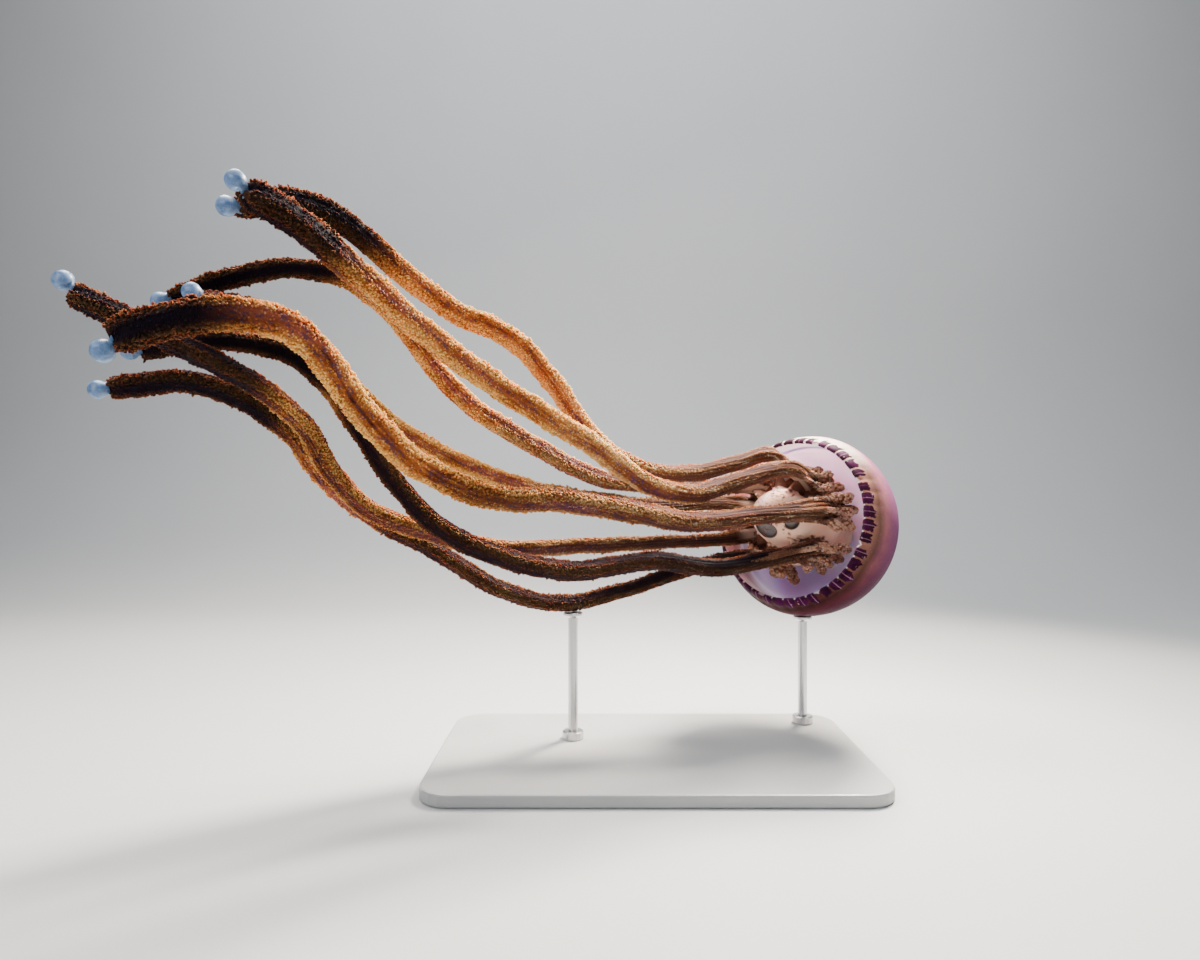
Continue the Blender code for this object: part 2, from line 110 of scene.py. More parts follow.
# Each arm: its root round the bell's axis in degrees, its width at shoulder, middle and tip in
# millimetres, its twist in turns, the way its club leans, its painted shade (how dark it is painted
# near the bell, up to which share of its length, and from where its end is dark, partly its own
# dark brown and partly painted shade), how much its middle is lifted towards the colours of the
# crests, and its route in millimetres.
ARMS = {
    1: dict(root=102, width=(19, 21, 22), twist=0.3, lean=(-0.2, 0.0, 0.4),
            painted_shade=(0.15, 0.2, 0.78), lift=0.45, route=(
        (137, 68, 306), (93, 50, 297), (44, 32, 287), (-7, 12, 292), (-54, -12, 319),
        (-99, -42, 378), (-133, -64, 411), (-178, -94, 428), (-219, -123, 456), (-259, -157, 488),
        (-288, -185, 494), (-317, -214, 479))),
    2: dict(root=60, width=(20, 22, 25), twist=0.35, lean=(-0.1, 0.0, 0.9),
            painted_shade=(0.45, 0.22, 0.84), lift=0.35, route=(
        (150, 35, 291), (97, 10, 281), (43, -15, 267), (-4, -36, 277), (-59, -63, 314),
        (-137, -106, 360), (-190, -139, 397), (-247, -183, 447), (-276, -210, 472),
        (-303, -236, 484))),
    3: dict(root=140, width=(17, 21, 17), twist=-0.25, lean=(0.0, 0.0, 0.0),
            painted_shade=(0.5, 0.45, 0.76), lift=0.12, route=(
        (133, 92, 270), (75, 86, 272), (3, 60, 274), (-50, 33, 281), (-106, 10, 308),
        (-176, -27, 352), (-209, -50, 388), (-237, -70, 428), (-271, -92, 456), (-312, -112, 462),
        (-362, -135, 447), (-401, -151, 427))),
    4: dict(root=14, width=(21, 23, 25), twist=0.3, lean=(-0.2, 0.0, -0.9),
            painted_shade=(0.66, 0.56, 0.87), lift=0.15, route=(
        (172, 26, 249), (114, -6, 245), (40, -40, 240), (-23, -68, 252), (-85, -100, 263),
        (-142, -131, 267), (-200, -169, 297), (-235, -202, 340), (-256, -232, 377),
        (-278, -256, 390), (-318, -283, 385), (-357, -300, 367))),
    5: dict(root=178, width=(17, 19, 17), twist=-0.3, lean=(0.0, 0.0, 0.5),
            painted_shade=(0.55, 0.36, 0.9), lift=0.25, route=(
        (128, 94, 245), (85, 74, 254), (14, 50, 252), (-60, 28, 260), (-120, 0, 271),
        (-188, -37, 299), (-242, -69, 333), (-271, -92, 366), (-293, -112, 398), (-321, -134, 418),
        (-368, -166, 425))),
    6: dict(root=318, width=(21, 21, 18), twist=0.25, lean=(0.0, 0.0, 0.3),
            painted_shade=(0.98, 0.71, 0.74), route=(
        (165, 38, 207), (119, 20, 198), (66, 5, 191), (4, -11, 200), (-79, -34, 193),
        (-144, -52, 209), (-196, -70, 237), (-229, -78, 272), (-268, -80, 329), (-303, -82, 375),
        (-334, -92, 395), (-377, -131, 397), (-424, -152, 384))),
    7: dict(root=214, width=(16, 19, 20), twist=-0.25, lean=(0.0, 0.6, 1.2),
            painted_shade=(0.6, 0.72, 0.76), route=(
        (132, 93, 220), (88, 84, 215), (15, 62, 213), (-71, 32, 212), (-150, -3, 213),
        (-216, -40, 232), (-260, -68, 253), (-286, -91, 286), (-304, -112, 327), (-331, -136, 356),
        (-363, -166, 377), (-402, -200, 399), (-436, -221, 416))),
    8: dict(root=254, width=(18, 19, 21), twist=0.2, lean=(0.0, 0.0, -0.2),
            painted_shade=(0.96, 0.6, 0.77), route=(
        (143, 58, 195), (101, 62, 197), (47, 62, 184), (-29, 44, 162), (-91, 26, 152),
        (-151, 6, 170), (-216, -18, 214), (-264, -42, 244), (-301, -64, 280), (-325, -88, 322),
        (-357, -108, 349), (-394, -129, 363), (-450, -153, 355))),
}


# ---- shapes ----
def outward(angle, side, up):
    """Unit vectors at these angles, turned from side towards up."""
    angle = np.asarray(angle, float)[..., None]
    return np.cos(angle) * side + np.sin(angle) * up


def around(degrees):
    """Unit vectors square to the bell's axis: 0 is the near side, 90 the top."""
    return outward(np.radians(degrees), SIDE, RISE)


def bell_point(radius, degrees, along):
    radius = np.asarray(radius, float)[..., None]
    along = np.asarray(along, float)[..., None]
    return BELL_CENTRE + along * MOUTH + radius * around(degrees)


def on_disc(degrees, place):
    """A point on the arm disc's round end."""
    t = np.radians(place)
    return bell_point(DISC_RADIUS * np.cos(t), degrees,
                      DISC_SHOULDER + (DISC_END - DISC_SHOULDER) * np.sin(t))


def disc_radius(height, most=1.0):
    """The arm disc's radius at this height on its round end; most keeps it off the very tip."""
    rise = np.clip((height - DISC_SHOULDER) / (DISC_END - DISC_SHOULDER), 0, most)
    return DISC_RADIUS * np.sqrt(1 - rise ** 2)


def in_bell(points):
    """Each point's place along the bell's axis, sideways and up, from its centre."""
    local = points - BELL_CENTRE
    return np.stack((local @ MOUTH, local @ SIDE, local @ RISE), 1)


def circle(count):
    return np.linspace(0, 2 * math.pi, count, endpoint=False)


def on_circle(angle, radius):
    return np.stack((radius * np.cos(angle), radius * np.sin(angle)), -1)


def unit(vectors):
    return vectors / np.maximum(np.linalg.norm(vectors, axis=-1, keepdims=True), 1e-12)


def ease(values, low, high):
    """0 below low, 1 above high, smooth between; high may be the lower one."""
    share = np.clip((np.asarray(values, float) - low) / (high - low), 0, 1)
    return share * share * (3 - 2 * share)


def gap_to(line, points):
    """How far each point is from the nearest point of a line."""
    return np.min(np.linalg.norm(points[:, None] - line[None], axis=2), 1)


def roughly(values, seed):
    """Smooth noise from -1 to 1 at points of two or three coordinates."""
    places = np.zeros((len(values), 3))
    places[:, :values.shape[1]] = values
    places[:, 2] += seed * 7.31
    return np.array([noise.noise(Vector(place)) for place in places])


def smooth_line(points, per_span):
    """Centripetal Catmull-Rom curve through the points, as a fine polyline."""
    points = [np.asarray(point, float) for point in points]
    ends = [points[0] * 2 - points[1], *points, points[-1] * 2 - points[-2]]
    line = []
    for p0, p1, p2, p3 in zip(ends, ends[1:], ends[2:], ends[3:]):
        t1 = np.linalg.norm(p1 - p0) ** 0.5
        t2 = t1 + np.linalg.norm(p2 - p1) ** 0.5
        t3 = t2 + np.linalg.norm(p3 - p2) ** 0.5
        for i in range(per_span):
            t = t1 + (t2 - t1) * i / per_span
            a1 = p0 + (p1 - p0) * t / t1
            a2 = p1 + (p2 - p1) * (t - t1) / (t2 - t1)
            a3 = p2 + (p3 - p2) * (t - t2) / (t3 - t2)
            b1 = a1 + (a2 - a1) * t / t2
            b2 = a2 + (a3 - a2) * (t - t1) / (t3 - t1)
            line.append(b1 + (b2 - b1) * (t - t1) / (t2 - t1))
    line.append(points[-1])
    return np.array(line)


class Path:
    """A smooth line read by its length, with a frame that turns with it but doesn't roll."""

    def __init__(self, points, reference=(0, 0, 1), per_span=24):
        self.line = smooth_line(points, per_span)
        steps = np.linalg.norm(np.diff(self.line, axis=0), axis=1)
        self.reach = np.concatenate(([0.0], np.cumsum(steps)))
        self.length = self.reach[-1]
        ahead = np.vstack((self.line[1:], self.line[-1:]))
        behind = np.vstack((self.line[:1], self.line[:-1]))
        self.tangents = unit(ahead - behind)
        tangents = [Vector(t) for t in self.tangents]
        side = Vector(reference)
        sides = [(side - tangents[0] * side.dot(tangents[0])).normalized()]
        for before, after in zip(tangents, tangents[1:]):
            side = before.rotation_difference(after) @ sides[-1]
            sides.append((side - after * side.dot(after)).normalized())
        self.sides = np.array(sides)

    def at(self, distance):
        """Points, tangents, sides and ups at these distances along the path."""
        distance = np.clip(distance, 0, self.length)

        def read(values):
            return np.stack([np.interp(distance, self.reach, column) for column in values.T], -1)

        point, tangent, side = read(self.line), unit(read(self.tangents)), read(self.sides)
        side = unit(side - tangent * np.sum(side * tangent, -1, keepdims=True))
        return point, tangent, side, np.cross(tangent, side)


# ---- meshes ----
def mesh_of(name, points, faces):
    """A smooth mesh; faces is an array of triangles, or a list of mixed faces."""
    mesh = bpy.data.meshes.new(name)
    if isinstance(faces, list):
        mesh.from_pydata(points.tolist(), [], faces)
    else:
        mesh.vertices.add(len(points))
        mesh.vertices.foreach_set("co", points.astype(np.float32).ravel())
        mesh.loops.add(faces.size)
        mesh.loops.foreach_set("vertex_index", faces.astype(np.int32).ravel())
        mesh.polygons.add(len(faces))
        mesh.polygons.foreach_set("loop_start", np.arange(0, faces.size, 3, dtype=np.int32))
        mesh.update(calc_edges=True)
    mesh.shade_smooth()
    return mesh


def give_uv(mesh, name, corner_uv):
    layer = mesh.uv_layers.new(name=name)
    layer.data.foreach_set("uv", np.asarray(corner_uv, np.float32).ravel())


def looks_of(shape, **numbers):
    """Three numbers at each point under each name; a plain number is the same everywhere."""
    return {name: np.stack([np.broadcast_to(one, shape) for one in three], -1)
            for name, three in numbers.items()}


def give_looks(mesh, looks):
    """Stores, per vertex, what the material reads."""
    for name, values in looks.items():
        kept = mesh.attributes.new(name, "FLOAT_VECTOR", "POINT")
        kept.data.foreach_set("vector", values.astype(np.float32).ravel())


def place_in_scene(name, data):
    obj = bpy.data.objects.new(name, data)
    bpy.context.scene.collection.objects.link(obj)
    return obj


def add(mesh, finish, slot, *nodes):
    """A piece of the animal, named as its mesh, that takes the place of these nodes."""
    mesh.materials.append(finish)
    obj = place_in_scene(mesh.name, mesh)
    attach(obj, "root")
    if nodes:
        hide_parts(*nodes)


def wall_faces(rings, sides, first=0):
    return [(low + k, low + (k + 1) % sides, low + sides + (k + 1) % sides, low + sides + k)
            for low in range(first, first + (rings - 1) * sides, sides) for k in range(sides)]


def tube_faces(rings, sides, first=0):
    last = first + (rings - 1) * sides
    return wall_faces(rings, sides, first) + [tuple(range(first + sides - 1, first - 1, -1)),
                                              tuple(range(last, last + sides))]


def tube(path, places, radii, sides):
    """Rings of a round tube along the path."""
    point, _, side, up = path.at(places)
    ring = outward(circle(sides)[None], side[:, None], up[:, None])
    return (point[:, None] + radii[:, None, None] * ring).reshape(-1, 3)


# ---- materials ----
class Shader:
    """Builds one node material; sockets and plain numbers are both taken as inputs."""

    def __init__(self, name, **fixed):
        self.material = bpy.data.materials.new(name)
        self.material.use_nodes = True
        self.tree = self.material.node_tree
        self.surface = self.tree.nodes["Principled BSDF"]
        for key, value in fixed.items():
            self.surface.inputs[key.replace("_", " ")].default_value = value

    def put(self, socket, value):
        if isinstance(value, bpy.types.NodeSocket):
            self.tree.links.new(value, socket)
        else:
            socket.default_value = (*value, 1.0) if socket.type == "RGBA" else value

    def node(self, kind, inputs=None, **settings):
        """A new node with these settings, and with these inputs by name or number."""
        made = self.tree.nodes.new("ShaderNode" + kind)
        for key, value in settings.items():
            setattr(made, key, value)
        for key, value in (inputs or {}).items():
            self.put(made.inputs[key], value)
        return made

    def math(self, operation, *values):
        return self.node("Math", dict(enumerate(values)), operation=operation).outputs[0]

    def total(self, *terms):
        """The sum of values, each alone or with its weight."""
        result = 0.0
        for term in terms:
            value, weight = term if isinstance(term, tuple) else (term, 1.0)
            result = self.math("MULTIPLY_ADD", value, weight, result)
        return result

    def times(self, *values):
        result = values[0]
        for value in values[1:]:
            result = self.math("MULTIPLY", result, value)
        return result

    def mix(self, share, first, second, blend="MIX"):
        return self.node("Mix", {"Factor": share, 6: first, 7: second}, data_type="RGBA",
                         blend_type=blend, clamp_factor=True).outputs[2]

    def over(self, under, colour, *shares):
        """A colour laid over another; its share is the product of these, each a value or an
        ease of one."""
        shares = [self.ease(*one) if isinstance(one, tuple) else one for one in shares]
        return self.mix(self.times(*shares), under, colour)

    def ease(self, value, low, high):
        """0 below low, 1 above high, smooth between; low may be the higher one."""
        return self.node("MapRange", {"Value": value, "From Min": min(low, high),
                                      "From Max": max(low, high), "To Min": float(low > high),
                                      "To Max": float(low < high)},
                         interpolation_type="SMOOTHSTEP").outputs[0]

    def ramp(self, value, *stops):
        made = self.node("ValToRGB", {0: value})
        band = made.color_ramp
        while len(band.elements) < len(stops):
            band.elements.new(0.5)
        for element, (place, *colour) in zip(band.elements, stops):
            element.position = place
            element.color = (*colour, 1.0)
        return made.outputs[0]

    def grey(self, value, low, high):
        """A roughness: low where the value is 0.3 and high where it is 0.7."""
        return self.ramp(value, (0.3, low, low, low), (0.7, high, high, high))

    def split(self, vector):
        return self.node("SeparateXYZ", {0: vector}).outputs

    def kept(self, name):
        """The three numbers kept per vertex under this name."""
        return self.node("Attribute", attribute_name=name).outputs["Vector"]

    def place(self):
        return self.node("TexCoord").outputs["Object"]

    def noise(self, scale, detail=2.0, rough=0.5, vector=None):
        return self.node("TexNoise", {"Vector": vector or self.place(), "Scale": scale,
                                      "Detail": detail, "Roughness": rough}).outputs[0]

    def cells(self, scale, feature="F1"):
        return self.node("TexVoronoi", {"Vector": self.place(), "Scale": scale},
                         feature=feature).outputs[0]

    def finish(self, colour, roughness, height, distance, strength):
        bump = self.node("Bump", {"Height": height, "Distance": distance, "Strength": strength})
        for key, value in (("Base Color", colour), ("Roughness", roughness),
                           ("Normal", bump.outputs[0])):
            self.put(self.surface.inputs[key], value)
        return self.material


def frill_material():
    """Arms, fingers, arm disc and mouthlets, from numbers kept on each vertex.

    kind is (height in a mouthlet, tint, crest), place is (share of the arm, painted shade, disc),
    lie is the place unrolled along the arm, and pit is (distance to an opening, spots, ridge). On
    the disc's skin and at the fingers' ends the share of the arm is below 0.
    """
    s = Shader("arm_frill", Subsurface_Weight=0.55, Subsurface_Scale=0.008,
               Subsurface_Radius=(1.0, 0.42, 0.22), Specular_IOR_Level=0.03)
    tip, tint, crest = s.split(s.kept("kind"))
    share, painted_dark, disc = s.split(s.kept("place"))
    pit, spots, ridge = s.split(s.kept("pit"))
    lie = s.kept("lie")

    def drawn(length, across, detail=2.0, rough=0.6):
        """Noise with spots of this length along the arm and this breadth."""
        stretch = {0: lie, 1: (1 / length, 1 / across, 1 / across)}
        return s.noise(1.0, detail, rough,
                       s.node("VectorMath", stretch, operation="MULTIPLY").outputs[0])

    streak = drawn(0.05, 0.0024, 3.0)
    blotch = drawn(0.013, 0.0055, 3.0)
    fleck = drawn(0.0042, 0.0028)
    slow = drawn(0.07, 0.016, 2.0, 0.5)
    patchy = drawn(0.034, 0.011, 2.0, 0.5)
    painted_highlight = drawn(0.022, 0.0016)
    # brown in the valleys, orange and gold on the flanks, pale orange on the crests
    value = s.total((streak, 0.46), (blotch, 0.45), (patchy, 0.5), (crest, 0.24), (ridge, 0.09),
                    (tint, 0.12), -0.085)
    body = s.ramp(value, (0.55, 0.04, 0.013, 0.018), (0.68, 0.18, 0.044, 0.024),
                  (0.8, 0.42, 0.125, 0.034), (0.91, 0.68, 0.25, 0.075),
                  (1.0, 0.93, 0.46, 0.17))
    # rose stretches and violet flecks, fainter on the crests
    rose = s.mix(tint, (0.34, 0.08, 0.08), (0.72, 0.24, 0.215))
    body = s.over(body, rose, (slow, 0.48, 0.62), (crest, 1.0, 0.3), 0.65)
    violet = s.mix(slow, (0.055, 0.032, 0.09), (0.13, 0.08, 0.24))
    body = s.over(body, violet, (fleck, 0.52, 0.61), (crest, 1.05, 0.4), 0.78)
    # near the bell: dark brown, drawn into fine ridges, with pale painted highlights along the
    # crests
    tan = s.ramp(s.total((ridge, 0.3), (streak, 0.75), (tint, 0.3)), (0.4, 0.052, 0.022, 0.018),
                 (0.66, 0.1, 0.043, 0.032), (0.92, 0.17, 0.08, 0.056))
    body = s.over(body, tan, (share, 0.42, 0.18), 0.92)
    body = s.over(body, (0.95, 0.74, 0.52), (painted_highlight, 0.57, 0.65), (crest, 0.78, 0.98),
                  (share, 0.5, 0.2), 0.8)
    # painted highlight on the mouthlets' tips, painted shade on their feet and the skin under them
    body = s.over(body, (0.96, 0.58, 0.27), (tip, 0.35, 1.0), (value, 0.74, 1.0),
                  (share, 0.12, 0.4), 0.5)
    body = s.over(body, (0.1, 0.035, 0.03), (tip, 0.35, 0.0), (share, 0.1, 0.3), 0.4)
    # the fingers: dark brown in the creases, a painted shade, pinkish tan outside
    finger = s.ramp(s.total((tint, 0.6), (tip, 0.2), (blotch, 0.25)), (0.18, 0.05, 0.017, 0.012),
                    (0.42, 0.27, 0.115, 0.08), (0.7, 0.59, 0.305, 0.215))
    body = s.over(body, finger, (share, 0.0, -0.06))
    # the outer half is more orange
    body = s.over(body, s.mix(1.0, body, (1.0, 0.8, 0.46), "MULTIPLY"), (share, 0.4, 0.58), 0.85)
    # painted shade: the shaded stretches turn warm brown on the crests, blue-black between
    high = s.ease(crest, 0.2, 0.9)
    shade_colour = s.mix(1.0, body, s.mix(high, (0.02, 0.03, 0.058), (0.052, 0.06, 0.072)),
                 "MULTIPLY")
    shade_colour = s.mix(0.6, shade_colour, s.mix(high, (0.006, 0.004, 0.009), (0.03, 0.017, 0.012)))
    body = s.mix(painted_dark, body, shade_colour)
    # the arm disc between the arms: smooth peach, with openings darkened by painted shade, and a
    # few spots
    cloud = s.noise(55.0, 3.0, 0.55)
    peach = s.mix(cloud, (0.88, 0.46, 0.33), (0.96, 0.65, 0.52))
    peach = s.over(peach, (0.84, 0.62, 0.68), (s.noise(26.0), 0.55, 0.7), 0.5)
    peach = s.over(peach, (0.085, 0.035, 0.03), (s.cells(300.0), 0.5, 0.4), spots,
                   (cloud, 0.4, 0.46))
    # painted shade inside the openings and along their rims
    inner = s.mix(cloud, (0.09, 0.08, 0.085), (0.21, 0.19, 0.19))
    peach = s.over(peach, inner, (pit, 0.0004, -0.0004))
    peach = s.over(peach, (0.03, 0.022, 0.024), (pit, 0.0012, 0.0002), (pit, -0.0016, -0.0006),
                   0.8)
    body = s.mix(disc, body, peach)
    height = s.total((s.noise(1100.0, 2.0, 0.6), 0.5), (s.cells(800.0), 0.8))
    return s.finish(body, s.grey(blotch, 0.48, 0.72), height, 0.0005, 0.7)


def bell_material():
    """The bell: UV 'turn' holds the lappet number and the distance from the free edge, which is
    below 0 outside and above 0 inside."""
    s = Shader("bell_jelly", IOR=1.34, Subsurface_Scale=0.022,
               Subsurface_Radius=(1.0, 0.8, 0.85), Specular_IOR_Level=0.01)
    number, edge, _ = s.split(s.node("UVMap", uv_map="turn").outputs[0])
    across, _, up = s.split(s.place())

    def turned(by_number, by_edge, detail=2.0, rough=0.5):
        """Noise over the lappets, with these scales round and square to the edge."""
        where = {0: s.times(number, by_number), 1: s.times(edge, by_edge)}
        return s.noise(1.0, detail, rough, s.node("CombineXYZ", where).outputs[0])

    grain = s.noise(420.0, 3.0, 0.6)
    blotch = s.noise(70.0, 3.0, 0.55)
    slow = s.noise(20.0)
    shaded_low_side = s.ease(up, 0.262, 0.15)
    far_side = s.ease(across, 0.16, 0.11)
    # outside, from the lappets up: tan, brown, pink, mauve, then granular purple, and lilac at
    # the crown; painted shade makes it much darker low down, and a painted highlight makes a pale
    # band along the upper rim
    outside = s.ramp(s.total((edge, -8.0), (slow, 0.12), -0.06), (0.09, 0.3, 0.14, 0.105),
                     (0.15, 0.15, 0.078, 0.056), (0.22, 0.34, 0.13, 0.15),
                     (0.32, 0.24, 0.085, 0.165), (0.55, 0.15, 0.052, 0.145),
                     (0.95, 0.26, 0.115, 0.24))
    speck = s.ease(s.cells(330.0), 0.16, 0.05)
    outside = s.over(outside, (0.8, 0.62, 0.68), speck, 0.28)
    outside = s.over(outside, (0.16, 0.05, 0.14), (blotch, 0.45, 0.75), 0.35)
    # painted shade: darker low down
    outside = s.over(outside, s.mix(1.0, outside, (0.16, 0.095, 0.125), "MULTIPLY"), shaded_low_side)
    # painted highlight: a pale band along the upper rim
    outside = s.over(outside, (0.98, 0.84, 0.74), (up, 0.285, 0.325), (edge, -0.04, -0.02),
                     (edge, 0.0, -0.006), 0.75)
    # inside: smooth lavender white with fine lines, a blue-grey ring, a second one on the far
    # side, and a pink lip, which is wider on the far side; painted shade makes the inside bluer and
    # darker low down, and the lip stronger and darker there
    inside = s.mix(s.ease(slow, 0.3, 0.7), (0.9, 0.84, 0.94), (0.95, 0.87, 0.92))
    inside = s.over(inside, (0.62, 0.58, 0.78), (turned(0.5, 900.0), 0.5, 0.75), 0.22)
    # painted shade: bluer and darker low down
    inside = s.over(inside, (0.46, 0.48, 0.72), shaded_low_side, 0.45)
    inside = s.over(inside, (0.33, 0.33, 0.52), (edge, 0.026, 0.03), (edge, 0.036, 0.031), 0.6)
    inside = s.over(inside, (0.3, 0.29, 0.42), far_side, (edge, 0.041, 0.045),
                    (edge, 0.054, 0.047), 0.6)
    # painted shade: the lip is stronger and darker low down
    lip = s.times(s.ease(edge, 0.026, 0.013), s.total((shaded_low_side, 0.14), 0.18))
    far_lip = s.times(s.ease(edge, 0.043, 0.036), far_side, 0.82)
    inside = s.over(inside, s.mix(shaded_low_side, (0.86, 0.52, 0.46), (0.34, 0.185, 0.2)),
                    s.math("MAXIMUM", lip, far_lip))
    colour = s.mix(s.ease(edge, -0.001, 0.001), outside, inside)
    # the dark patch of each lappet: jagged, with pale lines between and wide gaps at the groups
    place = s.math("SUBTRACT", s.math("FRACT", number), 0.5)
    group = s.math("FRACT", s.math("DIVIDE", number, float(LAPPETS_PER_GROUP)))
    to_gap = s.math("MINIMUM", group, s.math("SUBTRACT", 1.0, group))
    jag = turned(5.0, 150.0, 3.0, 0.75)
    teeth = s.noise(1.0, 1.0, 0.5, s.node("CombineXYZ", {0: s.times(number, 3.3), 1: 0.5})
                    .outputs[0])
    side = s.ease(s.total(s.math("ABSOLUTE", place), (jag, 0.34), -0.17), 0.45, 0.41)
    gap = s.ease(s.total(to_gap, (jag, 0.08)), 0.085, 0.1)
    low = s.ease(s.total(edge, (jag, 0.007), (teeth, 0.016)), -0.0018, -0.0004)
    high = s.ease(s.total(edge, (jag, -0.006)), 0.001, -0.0004)
    patch = s.times(side, gap, low, high)
    # the patches' colour, with pale flecks, and a pale line that splits some of them
    ink = s.mix(s.ease(blotch, 0.35, 0.65), (0.012, 0.002, 0.01), (0.042, 0.003, 0.034))
    ink = s.over(ink, (0.5, 0.28, 0.42), (turned(3.0, 200.0, 2.0, 0.6), 0.66, 0.73), 0.65)
    off_line = s.math("ABSOLUTE", s.total(place, (jag, 0.16), -0.08))
    ink = s.over(ink, (0.46, 0.24, 0.33), (off_line, 0.045, 0.02), (teeth, 0.44, 0.52), 0.34)
    colour = s.over(colour, ink, patch, 0.97)
    s.put(s.surface.inputs["Subsurface Weight"],
          s.times(s.total((s.ease(edge, -0.001, 0.004), 0.85), 0.15), s.total((patch, -0.9), 1.0)))
    height = s.total(s.times(speck, s.ease(edge, -0.012, -0.022)), (grain, 0.35))
    return s.finish(colour, s.grey(grain, 0.34, 0.54), height, 0.0005, 0.6)


def club_material():
    s = Shader("club_jelly", Subsurface_Weight=0.9, Subsurface_Scale=0.006,
               Subsurface_Radius=(0.7, 0.85, 1.0), Coat_Weight=0.05, Coat_Roughness=0.2,
               Transmission_Weight=0.25)
    cloud = s.noise(190.0, 3.0, 0.55)
    veins = s.ease(s.cells(260.0, "DISTANCE_TO_EDGE"), 0.05, 0.015)
    colour = s.mix(s.ease(cloud, 0.3, 0.7), (0.08, 0.17, 0.34), (0.16, 0.28, 0.49))
    colour = s.over(colour, (0.6, 0.7, 0.82), veins, 0.2)
    return s.finish(colour, s.grey(cloud, 0.34, 0.5), cloud, 0.0005, 0.5)


def paint_material():
    s = Shader("stand_paint", Coat_Weight=0.1)
    patch = s.noise(14.0, 3.0)
    return s.finish(s.mix(patch, (0.36, 0.365, 0.375), (0.41, 0.415, 0.42)),
                    s.grey(patch, 0.4, 0.52), s.noise(900.0), 0.0003, 0.5)


def steel_material():
    s = Shader("stand_steel", Metallic=1.0)
    stretch = s.node("Mapping", {"Vector": s.place(), "Scale": (900.0, 900.0, 12.0)})
    brush = s.noise(1.0, 3.0, 0.6, stretch.outputs[0])
    return s.finish(s.mix(brush, (0.55, 0.55, 0.56), (0.66, 0.66, 0.67)),
                    s.grey(brush, 0.24, 0.4), brush, 0.0002, 0.4)


def floor_material():
    s = Shader("studio_floor")
    return s.finish(s.mix(s.noise(3.0), (0.45, 0.465, 0.48), (0.49, 0.5, 0.51)), 0.8,
                    s.noise(300.0), 0.0005, 0.3)


# ---- bell ----
def bell_profile():
    """Radius and height from the crown, over the free edge, to the ceiling; and edge distance."""
    t = np.radians(np.linspace(90, 4, 12))
    outer = np.stack((BELL_RADIUS * np.cos(t), 0 * t, DOME_HEIGHT * np.sin(t)), 1)
    lip = [(0.0998, 0, -0.004), (0.0985, 0, -0.012), (0.0947, 0, -0.022), (0.092, 0, -0.0295),
           (0.0884, 0, -0.035), (0.0864, 0, -0.0365), (0.0848, 0, -0.0356),
           (0.0852, 0, -0.03), (0.0864, 0, -0.022)]
    t = np.radians(np.linspace(0, 90, 12))
    widest = -0.01
    inner = np.stack((HOLLOW_RADIUS * np.cos(t), 0 * t,
                      widest + (CEILING_HEIGHT - widest) * np.sin(t)), 1)
    path = Path([*outer, *lip, *inner], per_span=12)
    # rows of points that crowd towards the free edge
    tip = path.reach[np.argmin(path.line[:, 2])]
    crowding = 1.35
    before = tip - tip * np.linspace(1, 0, 84) ** crowding
    after = tip + (path.length - tip) * np.linspace(0, 1, 62)[1:] ** crowding
    places = np.concatenate((before, after))
    points = path.at(places)[0]
    return points[:, 0], points[:, 2], places - tip


def build_bell(finish):
    """The turned profile, notched at its free edge and furrowed outside between the lappets."""
    lappets = LAPPET_GROUPS * LAPPETS_PER_GROUP
    columns = lappets * LAPPET_COLUMNS
    radius, height, edge = bell_profile()
    number = np.arange(columns) / LAPPET_COLUMNS
    within = np.abs(number % 1 - 0.5) * 2
    in_group = number % LAPPETS_PER_GROUP
    at_gap = np.minimum(in_group, LAPPETS_PER_GROUP - in_group) < 0.5
    notch = within ** 3 * np.where(at_gap, 2.0, 1.0)
    teeth = roughly(on_circle(number / lappets * 2 * np.pi, 60), 3)
    follow = ease(np.abs(edge), 0.013, 0.0)[:, None]
    shift = follow * (LAPPET_NOTCH * notch + 0.0007 * teeth)
    furrow = (ease(edge, -0.034, -0.01) * ease(edge, 0.01, 0.0))[:, None]
    r = radius[:, None] + 0.49 * shift - 0.0008 * furrow * within ** 2
    degrees = LAPPET_PHASE + 360.0 * np.arange(columns) / columns
    sway = roughly(on_circle(np.radians(degrees), 1.5), 9)
    r = r * (1 + 0.006 * ease(edge, -0.12, -0.02)[:, None] * sway)
    points = bell_point(r, degrees, -(height[:, None] + 0.87 * shift)).reshape(-1, 3)
    mesh = mesh_of("bell_skin", points, wall_faces(len(edge), columns))
    row, column = np.divmod(np.arange((len(edge) - 1) * columns), columns)
    corners = [((column + k) / LAPPET_COLUMNS, edge[row + i])
               for i, k in ((0, 0), (0, 1), (1, 1), (1, 0))]
    give_uv(mesh, "turn", np.transpose(corners, (2, 0, 1)))
    # the ends of the profile lie on the axis: weld each ring there to one point
    shape = bmesh.new()
    shape.from_mesh(mesh)
    ends = [v for v in shape.verts if v.index < columns or v.index >= len(points) - columns]
    bmesh.ops.remove_doubles(shape, verts=ends, dist=1e-5)
    bmesh.ops.recalc_face_normals(shape, faces=shape.faces)
    shape.to_mesh(mesh)
    shape.free()
    add(mesh, finish, "bell_jelly", "bell", "bell_margin")


# ---- arms ----
def crest_of(angle):
    """1 on the three wings of an arm, 0 in the grooves between them."""
    return (1 + np.cos(3 * angle)) / 2


def ridge_of(distance, angle):
    """Fine ridges that run along an arm, from 0 to 1."""
    return 0.5 + 0.5 * np.cos(RIDGES * angle + 2.0 * np.sin(distance * 40))


